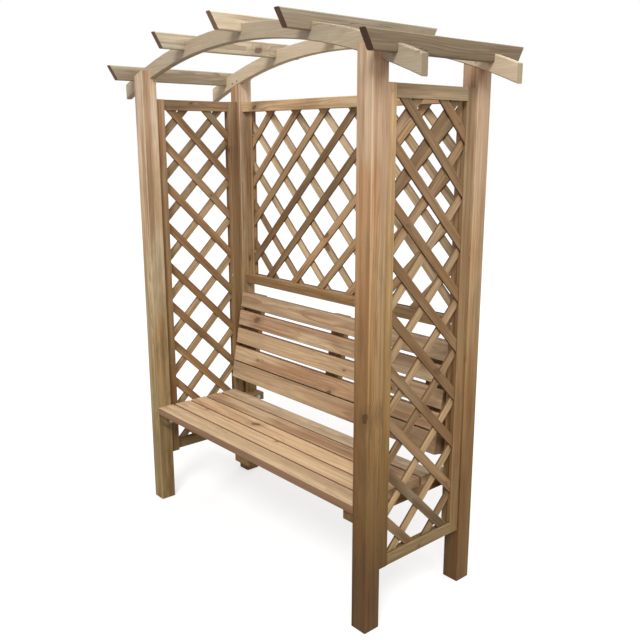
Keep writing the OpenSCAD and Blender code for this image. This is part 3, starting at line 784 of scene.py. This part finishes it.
def wood_recipe(tree, palette, tone=1.0, warm=0.0):
    """The softwood group, filled in from a palette."""
    recipe = place_group(tree, softwood_group)
    for key, socket in WOOD_COLOURS.items():
        recipe.inputs[socket].default_value = toned(palette[key], tone, warm)
    for key, socket in WOOD_VALUES.items():
        recipe.inputs[socket].default_value = palette[key]
    place = add_node(tree, "TexCoord").outputs["Object"]
    tree.links.new(split(tree, place)[2], recipe.inputs["Height"])
    return recipe, place


def board_material(name, palette, middle, half_size, turn):
    """turn is the rotation that brings the board's own axes onto X, Y and Z."""
    luck = board_luck(name)
    seed = luck.uniform(*SEED_RANGE)
    tone, warm = BOARD_TONES.get(name, (1.0, 0.0))
    tone *= 1 + luck.uniform(-TONE_SPREAD, TONE_SPREAD)
    warm += luck.uniform(-WARM_SPREAD, WARM_SPREAD)
    material, tree = new_material("wood_" + name)
    recipe, place = wood_recipe(tree, palette, tone, warm)
    inside = add_node(tree, "Mapping", place, -(turn @ middle), turn.to_euler()).outputs[0]
    for socket, value in (("Vector", inside), ("Seed", seed),
                          ("Half Size", half_size), ("Grain Way", turn[0]),
                          ("Width Way", turn[1]), ("Damp And Shade", BOARD_DAMP_AND_SHADE.get(name, palette["damp_and_shade"]))):
        plug(tree, value, recipe.inputs[socket])
    finish_wood(tree, recipe)
    return material


print("seed of the first rafter:", round(board_luck("rafter_1").uniform(*SEED_RANGE), 2))

# %% [markdown]
# A sawn board's own axes follow from its box: it is longest along the grain,
# then comes its width, then its thickness. The backrest leans, so the axes of
# its boards are turned back by the lean before they are measured. A piece takes
# the palette that its name holds, and all the rest take that of the frames.

# %% Dress the straight boards
BACK_LEAN = math.radians(10.4)


def own_axes(node_name, lean=0.0):
    """(middle, half size, turn) of a board, from its vertices."""
    upright = Matrix.Rotation(lean, 3, "X")
    corners = [upright @ v.co for v in nodes[node_name].data.vertices]
    low = Vector([min(c[i] for c in corners) for i in range(3)])
    high = Vector([max(c[i] for c in corners) for i in range(3)])
    size = high - low
    order = sorted(range(3), key=lambda i: -size[i])
    rows = [Vector([1.0 if i == axis else 0.0 for i in range(3)]) for axis in order]
    if rows[0].cross(rows[1]).dot(rows[2]) < 0:
        rows[2] = -rows[2]
    turn = Matrix(rows) @ upright
    middle = upright.inverted() @ ((low + high) / 2)
    half = Vector([size[i] / 2 for i in order])
    return middle, half, turn


def is_metal(node_name):
    return "screw" in node_name or "bolt" in node_name


def palette_of(node_name):
    named = [kind for kind in PALETTES if kind in node_name]
    return PALETTES[named[0] if named else "frame"]


boards = [name for name in sorted(nodes) if not is_metal(name) and "slats" not in name]
for name in boards:
    axes = own_axes(name, BACK_LEAN if name.startswith("backrest") else 0.0)
    nodes[name].data.materials.clear()
    nodes[name].data.materials.append(board_material(name, palette_of(name), *axes))
print(len(boards), "boards dressed")

# %% [markdown]
# The trellis is made of thin sawn slats in two layers, and the frame holds each
# layer as one group of plain bars. Its mesh is opened first, with the triangles
# of each flat side joined into one face, so that a chamfer finds only the real
# edges. The longest edge of a layer shows which way its slats run.

# %% Open a layer
MERGE_WITHIN = 1e-6
FLAT_WITHIN = math.radians(1)


def open_layer(node_name):
    """A layer's mesh with whole faces and without doubled points."""
    build = bmesh.new()
    build.from_mesh(nodes[node_name].data)
    bmesh.ops.remove_doubles(build, verts=build.verts, dist=MERGE_WITHIN)
    bmesh.ops.dissolve_limit(build, angle_limit=FLAT_WITHIN, verts=build.verts,
                             edges=build.edges)
    return build


def layer_axes(node_name, build):
    """The directions along, across and through the slats of a layer."""
    low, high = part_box(node_name)
    thin_axis = min(range(3), key=lambda i: (high - low)[i])
    longest = max(build.edges, key=lambda e: e.calc_length())
    way = longest.verts[1].co - longest.verts[0].co
    way[thin_axis] = 0
    way = way.normalized()
    thick_way = Vector([1.0 if i == thin_axis else 0.0 for i in range(3)])
    return way, thick_way.cross(way), thick_way


print(sum("slats" in name for name in nodes), "layers of slats")

# %% [markdown]
# To treat every slat by itself, the mesh is taken apart into the sets of points
# that hang together. They are sorted by their height, so that a slat can be
# named by its place, in whatever order the mesh holds them.

# %% Find the slats
def islands(build):
    """The separate solids of a mesh, each as a set of its points."""
    left = set(build.verts)
    while left:
        first = min(left, key=lambda v: v.index)
        found, edge = {first}, [first]
        while edge:
            for link in edge.pop().link_edges:
                for v in link.verts:
                    if v not in found:
                        found.add(v)
                        edge.append(v)
        left -= found
        yield found


def from_the_top(build, wide_way):
    """The slats of a layer in the order of their height, the highest first."""
    def depth(slat):
        return -wide_way.z * sum(v.co.dot(wide_way) for v in slat) / len(slat)

    slats = [sorted(island, key=lambda v: v.index) for island in islands(build)]
    return sorted(slats, key=depth)


print("helpers for slats:", islands.__name__, "and", from_the_top.__name__)

# %% [markdown]
# Each slat's own axes and two numbers are written on its points, so that one
# material can give every slat its own grain and tone. The first number is its
# luck, from which the grain is made. The second is its tone: most are drawn by
# lot from the lighter part of the scale. The few slats that stand out in the
# photograph, such as the two dark ones that cross the back, are given by their
# place in their layer instead, counted from the top and starting at 0. The three
# top slats of the left panel's rising layer are dusky as painted shade. Each
# layer has its own lightness and warmth, set before its slats are named; the
# falling layers of the side panels are the darkest and warmest.

# %% Write on the slats
CHOCOLATE, DARK, DUSKY, USUAL, PALE = 0.02, 0.17, 0.24, 0.32, 1.0
SLAT_LAYERS = {
    # The three top slats here are dusky as painted shade.
    "left_panel_slats_rising": (1.02, -0.08, {0: DUSKY, 1: DUSKY, 2: DUSKY}),
    "left_panel_slats_falling": (0.46, 0.17, {}),
    "right_panel_slats_rising": (0.75, 0.0, {1: DARK, 3: PALE, 6: DUSKY, 9: DARK}),
    "right_panel_slats_falling": (0.30, 0.20, {8: CHOCOLATE, 9: DUSKY}),
    "back_panel_slats_rising": (0.72, 0.09, {3: DARK, 4: DARK}),
    "back_panel_slats_falling": (1.24, -0.10, {9: DUSKY, 10: DARK}),
}


def write_numbers(build, axes, node_name):
    """Writes on the points of each slat, and returns its two middles and half length."""
    labels = build.verts.layers
    grain = labels.float_vector.new("slat_place")
    half = labels.float_vector.new("slat_half")
    luck_layer = labels.float.new("slat_luck")
    tone_layer = labels.float.new("slat_tone")
    build.verts.index_update()
    luck = board_luck(node_name)
    stand_out = SLAT_LAYERS[node_name][2]
    measures = []
    for count, slat in enumerate(from_the_top(build, axes[1])):
        spans = [[v.co.dot(axis) for v in slat] for axis in axes]
        middle = [(min(s) + max(s)) / 2 for s in spans]
        size = [(max(s) - min(s)) / 2 for s in spans]
        number = luck.random()
        tone = stand_out.get(count, luck.uniform(USUAL, PALE))
        for v, values in zip(slat, zip(*spans)):
            v[grain] = Vector([a - b for a, b in zip(values, middle)])
            v[half] = Vector(size)
            v[luck_layer] = number
            v[tone_layer] = tone
        measures.append((middle[0], middle[1], size[0]))
    return measures


print(sum(len(named) for light, warm, named in SLAT_LAYERS.values()), "slats stand out")

# %% [markdown]
# The slats share one material for each layer. It reads the numbers written on
# the points, and a colour ramp turns the tone into a colour, from chocolate
# through tan to pale. Each row of SLAT_TONES is a tone with its lightness and
# warmth. Some slats grow more algae than others: a power of three keeps most of
# them clean.

# %% Slat material
SLAT_TONES = [(0.0, 0.10, 0.14), (0.14, 0.28, 0.10), (0.30, 0.86, 0.02), (1.0, 1.34, -0.03)]
SLAT_CONTRAST = 0.65
SLAT_ALGAE, ALGAE_POWER, ALGAE_DRAW = 0.8, 3.0, (5.0, 9.0)
SEED_SPAN, SEED_LEAST = 37.0, 2.0


def tone_ramp(tree, tone, layer_tone, layer_warm):
    """The slats' early wood for a tone from 0 to 1."""
    node = add_node(tree, "ValToRGB", tone)
    ramp = node.color_ramp
    for stop in SLAT_TONES[1:-1]:
        ramp.elements.new(stop[0])
    for element, (place, light, warm) in zip(ramp.elements, SLAT_TONES):
        element.position = place
        element.color = toned(PALETTES["slat"]["early"], light * layer_tone, warm + layer_warm)
    return node.outputs["Color"]


def slat_material(name, way, wide_way):
    material, tree = new_material("wood_" + name)
    recipe = wood_recipe(tree, PALETTES["slat"])[0]

    def written(label, output):
        return add_node(tree, "Attribute", attribute_name=label).outputs[output]

    number = written("slat_luck", "Fac")
    early = tone_ramp(tree, written("slat_tone", "Fac"), *SLAT_LAYERS[name][:2])
    late = blend_colour(tree, SLAT_CONTRAST, early, PALETTES["slat"]["late"])
    green = chance(tree, join(tree, number, *ALGAE_DRAW))[0]
    green = times(tree, calc(tree, "POWER", green, ALGAE_POWER), SLAT_ALGAE)
    for socket, value in (("Vector", written("slat_place", "Vector")),
                          ("Half Size", written("slat_half", "Vector")),
                          ("Grain Way", way), ("Width Way", wide_way),
                          ("Seed", calc(tree, "MULTIPLY_ADD", number, SEED_SPAN, SEED_LEAST)),
                          ("Algae Share", green),
                          ("Early Colour", early), ("Late Colour", late)):
        plug(tree, value, recipe.inputs[socket])
    finish_wood(tree, recipe)
    return material


print("the darkest slat has", SLAT_TONES[0][1], "of the palette's light")

# %% [markdown]
# Now each layer is built. A fine chamfer on the sawn edges catches the light,
# where a sharp edge would look like paper. The new piece stands in for the
# frame's plain bars, and its measures are kept for the staples.

# %% Trellis slats
Layer = collections.namedtuple("Layer", "way wide_way thick_way slats")
SLAT_CHAMFER = 0.0012
CHAMFER_ROUNDNESS = 0.6


def sawn_layer(node_name):
    build = open_layer(node_name)
    axes = layer_axes(node_name, build)
    measures = write_numbers(build, axes, node_name)
    bmesh.ops.bevel(build, geom=build.edges[:], offset=SLAT_CHAMFER, segments=2,
                    profile=CHAMFER_ROUNDNESS, affect="EDGES", clamp_overlap=True)
    piece = add_mesh(node_name + "_sawn", build)
    for face in piece.data.polygons:
        face.use_smooth = False
    return piece, Layer(*axes, measures)


slat_layers = {}
for name in SLAT_LAYERS:
    piece, layer = sawn_layer(name)
    piece.data.materials.append(slat_material(name, layer.way, layer.wide_way))
    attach(piece, "root")
    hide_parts(name)
    slat_layers[name] = layer
print(sum(len(layer.slats) for layer in slat_layers.values()), "slats")

# %% [markdown]
# The screws and bolts are zinc-plated steel: a pale metal with faint bluish and
# yellowish clouds, a little scratched, and duller along the scratches. Clouds
# and scratches come from noise, since a picture of metal would repeat itself.

# %% Zinc-plated steel
ZINC_BLUISH, ZINC_YELLOWISH = shade(168, 170, 172), shade(158, 150, 128)
CLOUD_NOISE, CLOUD_SCALE, CLOUD_EDGES = (3.0, 0.6), 160.0, (0.35, 0.65)
SCRATCH_SCALES = (900.0, 140.0, 900.0)
SCRATCH_DEPTH = 0.0002
ZINC_ROUGHNESS, SCRATCH_ROUGHNESS = 0.28, 0.25


def zinc_material():
    material, tree = new_material("zinc_plate")
    place = add_node(tree, "TexCoord").outputs["Object"]
    cloud = step(tree, noise(tree, place, *CLOUD_NOISE, scale=CLOUD_SCALE), *CLOUD_EDGES)
    scratch = noise(tree, vector_calc(tree, "MULTIPLY", place, SCRATCH_SCALES))
    rough = calc(tree, "MULTIPLY_ADD", scratch, SCRATCH_ROUGHNESS, ZINC_ROUGHNESS)
    colour = blend_colour(tree, cloud, ZINC_BLUISH, ZINC_YELLOWISH)
    shader = add_shader(tree, colour, rough, scratch, SCRATCH_DEPTH)
    shader.inputs["Metallic"].default_value = 1.0
    return material


zinc = zinc_material()
metal_nodes = [name for name in nodes if is_metal(name)]
for name in metal_nodes:
    nodes[name].data.materials.clear()
    nodes[name].data.materials.append(zinc)
print(len(metal_nodes), "groups of screws and bolts are plated")

# %% [markdown]
# A trellis is stapled together where its slats cross, from the side that will
# face away. Two lines cross where both of their equations hold, so each crossing
# comes from the slats' own measures. A crossing too near to a slat's end has no
# wood to hold a staple, and is left out.

# %% Crossings
STAPLE_CROWN = 0.010


def crossings(first, second):
    """The points in the panel's plane where the middles of two layers cross."""
    straight = Matrix((first.wide_way, second.wide_way, first.thick_way)).inverted()
    for first_middle, first_wide, first_half in first.slats:
        for second_middle, second_wide, second_half in second.slats:
            point = straight @ Vector((first_wide, second_wide, 0.0))
            if (abs(point.dot(first.way) - first_middle) < first_half - STAPLE_CROWN
                    and abs(point.dot(second.way) - second_middle) < second_half - STAPLE_CROWN):
                yield point


back = [slat_layers["back_panel_slats_" + run] for run in ("falling", "rising")]
print(len(list(crossings(*back))), "crossings in the back panel")

# %% [markdown]
# A staple is a round wire bent twice. Only its crown shows, sunk a little into
# the wood and slightly askew, with the two bends that turn into the wood. Eight
# sides are enough for a wire that is about a millimetre thick.

# %% Staples
STAPLE_WIRE = 0.0012
STAPLE_SUNK = 0.0004
STAPLE_ASKEW = 0.35
WIRE_SIDES = 8


def add_staple(build, place, along, outward):
    crown = ((0.0, along, STAPLE_CROWN / 2, 0.0),)
    bends = tuple((side * STAPLE_CROWN / 2, outward, STAPLE_WIRE, -STAPLE_WIRE)
                  for side in (-1, 1))
    for shift, way, reach, rise in crown + bends:
        turn = way.to_track_quat("Z", "Y").to_matrix().to_4x4()
        middle = place + along * shift + outward * rise
        bmesh.ops.create_cone(build, cap_ends=True, segments=WIRE_SIDES,
                              radius1=STAPLE_WIRE / 2, radius2=STAPLE_WIRE / 2,
                              depth=2 * reach, matrix=Matrix.Translation(middle) @ turn)


def staple_panel(side, near_name, far_name, outward):
    """Staples on the outer face of near_name, which the far layer lies behind."""
    near = slat_layers[near_name]
    low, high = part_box(near_name)
    outward = Vector(outward)
    level = max(low.dot(outward), high.dot(outward)) - STAPLE_SUNK
    luck = board_luck(side + " staples")
    build = bmesh.new()
    count = 0
    for point in crossings(near, slat_layers[far_name]):
        place = point - outward * point.dot(outward) + outward * level
        askew = Matrix.Rotation(luck.uniform(-STAPLE_ASKEW, STAPLE_ASKEW), 3, outward)
        add_staple(build, place, askew @ near.way, outward)
        count += 1
    piece = add_mesh(side + "_staples", build)
    for face in piece.data.polygons:
        face.use_smooth = len(face.vertices) == 4
    piece.data.materials.append(zinc)
    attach(piece, "root")
    return count


for side, near, far, outward in (("left", "rising", "falling", (-1, 0, 0)),
                                 ("right", "rising", "falling", (-1, 0, 0)),
                                 ("back", "falling", "rising", (0, 1, 0))):
    start = side + "_panel_slats_"
    print(side, "panel:", staple_panel(side, start + near, start + far, outward), "staples")
